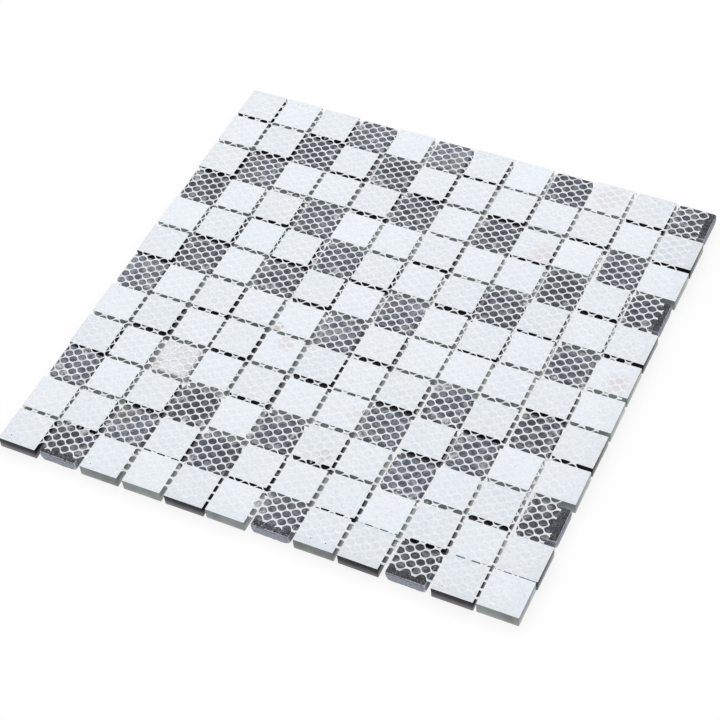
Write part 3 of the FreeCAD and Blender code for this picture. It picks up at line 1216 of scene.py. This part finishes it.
class MOSAIC_OT_glue_traces(bpy.types.Operator):
    """Put films and beads of dried glue where the net was stuck down"""

    bl_idname = "mosaic.glue_traces"
    bl_label = "Glue Traces"

    def execute(self, context):
        lattice = NetLattice(context.scene.mosaic_net)
        draw = random.Random(7)
        films, beads = [], []
        for rising in range(-70, 71):
            for falling in range(-70, 71):
                x, y = lattice.middle(rising, falling)
                place = pulled(lattice, x, y)
                if not lattice.is_whole(rising, falling) or place[0] < lattice.low.x + 3 * MM:
                    continue
                kind, depth = nearest_chip(*place)
                chance, turn, size = draw.random(), draw.random(), draw.random()
                if kind == "grey_stone":
                    share = 0.1 if -1.5 * MM < depth < 3.5 * MM else 0.03
                else:
                    share = 0.0
                if chance < share:
                    films.append((x, y, BACK_HEIGHT, 0.0, 0.9 + 0.1 * size))
                if depth < 0.2 * MM and draw.random() < 0.09:
                    beads.append((x, y, BACK_HEIGHT - 0.35 * MM, math.pi * turn, 0.8 + 0.6 * size))
        masters = (make_film(context.scene.mosaic_net), make_bead())
        copies = copy_to(masters[0], films) + copy_to(masters[1], beads)
        for master in masters:
            bpy.data.objects.remove(master)
        pick(*copies)
        bpy.ops.object.join()
        glue = context.object
        glue.name = "glue_traces"
        bpy.ops.object.transform_apply(location=True, rotation=True, scale=True)
        pull_out_of_square(glue, lattice)
        glue.data.materials.append(glue_material())
        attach(glue, BODY)
        return {"FINISHED"}


class MosaicStageSettings(bpy.types.PropertyGroup):
    """The camera, the lights and the floor."""

    camera_place: bpy.props.FloatVectorProperty(
        name="Camera",
        description="Where the camera stands",
        default=(0.36593, -0.65255, 0.82937),
        size=3,
        subtype="TRANSLATION",
        unit="LENGTH",
    )
    camera_turn: bpy.props.FloatVectorProperty(
        name="Camera turn",
        description="How the camera is turned",
        default=(math.radians(41.1055), math.radians(3.9915), math.radians(25.3397)),
        size=3,
        subtype="EULER",
        unit="ROTATION",
    )
    lens: bpy.props.FloatProperty(
        name="Lens", description="Focal length in millimetres", default=99.005
    )
    floor_glow: bpy.props.FloatProperty(
        name="Floor glow", description="Light that the floor gives of itself", default=0.80
    )
    sky: bpy.props.FloatProperty(
        name="Room light", description="Strength of the light from all round", default=0.84
    )
    key: bpy.props.FloatProperty(
        name="Key light",
        description="Power of the large lamp over the sheet",
        default=6.0,
        unit="POWER",
    )


class MOSAIC_OT_stage(bpy.types.Operator):
    """Set up the floor, the lights and the camera"""

    bl_idname = "mosaic.stage"
    bl_label = "Stage"

    def execute(self, context):
        settings = context.scene.mosaic_stage
        start_alone()
        bpy.ops.mesh.primitive_plane_add(size=12.0, location=(0, 0, 0))
        floor = context.object
        floor.name = "studio_floor"
        graph, shader, material = new_material("Studio floor")
        tone = graph.ramp(graph.noise(2.0), 0.3, 0.7, 0.19, 0.21)
        graph.put(shader.inputs["Base Color"], graph.mix(tone, (0, 0, 0, 1), (1, 1, 1, 1)))
        shader.inputs["Emission Color"].default_value = (1.0, 1.0, 1.0, 1.0)
        shader.inputs["Emission Strength"].default_value = settings.floor_glow
        shader.inputs["Roughness"].default_value = 0.9
        shader.inputs["Specular IOR Level"].default_value = 0.1
        floor.data.materials.append(material)

        world = context.scene.world or bpy.data.worlds.new("Studio")
        context.scene.world = world
        world.use_nodes = True
        sky = next(node for node in world.node_tree.nodes if node.type == "BACKGROUND")
        sky.inputs["Color"].default_value = (1.0, 1.0, 1.0, 1.0)
        sky.inputs["Strength"].default_value = settings.sky

        bpy.ops.object.light_add(type="AREA", location=(-0.5, 0.7, 1.4))
        lamp = context.object
        lamp.name = "key_light"
        lamp.data.shape = "RECTANGLE"
        lamp.data.size = 1.2
        lamp.data.size_y = 0.9
        lamp.data.energy = settings.key
        lamp.rotation_euler = Vector((-0.5, 0.7, 1.4)).to_track_quat("Z", "Y").to_euler()

        bpy.ops.object.camera_add(
            location=settings.camera_place, rotation=settings.camera_turn
        )
        camera = context.object
        camera.name = "photo_camera"
        camera.data.sensor_width = 36.0
        camera.data.lens = settings.lens
        camera.data.clip_start = 0.01
        camera.data.clip_end = 50.0
        context.scene.camera = camera
        context.scene.view_settings.view_transform = "Standard"
        return {"FINISHED"}


class MOSAIC_PT_sheet(bpy.types.Panel):
    """Everything that makes the mosaic tile sheet"""

    bl_idname = "MOSAIC_PT_sheet"
    bl_label = "Mosaic Tile Sheet"
    bl_space_type = "VIEW_3D"
    bl_region_type = "UI"
    bl_category = "Mosaic"

    def draw(self, context):
        layout = self.layout
        for operator in OPERATORS:
            layout.operator(operator.bl_idname)
        for group in GROUPS:
            settings = getattr(context.scene, group)
            box = layout.box()
            for name in settings.__annotations__:
                box.prop(settings, name)


OPERATORS = (
    MOSAIC_OT_stage,
    MOSAIC_OT_glass_chips,
    MOSAIC_OT_stone_chips,
    MOSAIC_OT_backing_net,
    MOSAIC_OT_glue_traces,
)
GROUPS = {
    "mosaic_chips": MosaicChipSizes,
    "mosaic_net": MosaicNetSizes,
    "mosaic_colours": MosaicColours,
    "mosaic_stage": MosaicStageSettings,
}


def register():
    for group in GROUPS.values():
        bpy.utils.register_class(group)
    for operator in OPERATORS:
        bpy.utils.register_class(operator)
    bpy.utils.register_class(MOSAIC_PT_sheet)
    for name, group in GROUPS.items():
        setattr(bpy.types.Scene, name, bpy.props.PointerProperty(type=group))


def unregister():
    for name in GROUPS:
        delattr(bpy.types.Scene, name)
    bpy.utils.unregister_class(MOSAIC_PT_sheet)
    for operator in reversed(OPERATORS):
        bpy.utils.unregister_class(operator)
    for group in reversed(list(GROUPS.values())):
        bpy.utils.unregister_class(group)


def main():
    register()
    bpy.ops.mosaic.stage()
    bpy.ops.mosaic.glass_chips()
    bpy.ops.mosaic.stone_chips()
    bpy.ops.mosaic.backing_net()
    bpy.ops.mosaic.glue_traces()


if __name__ == "__main__":
    main()
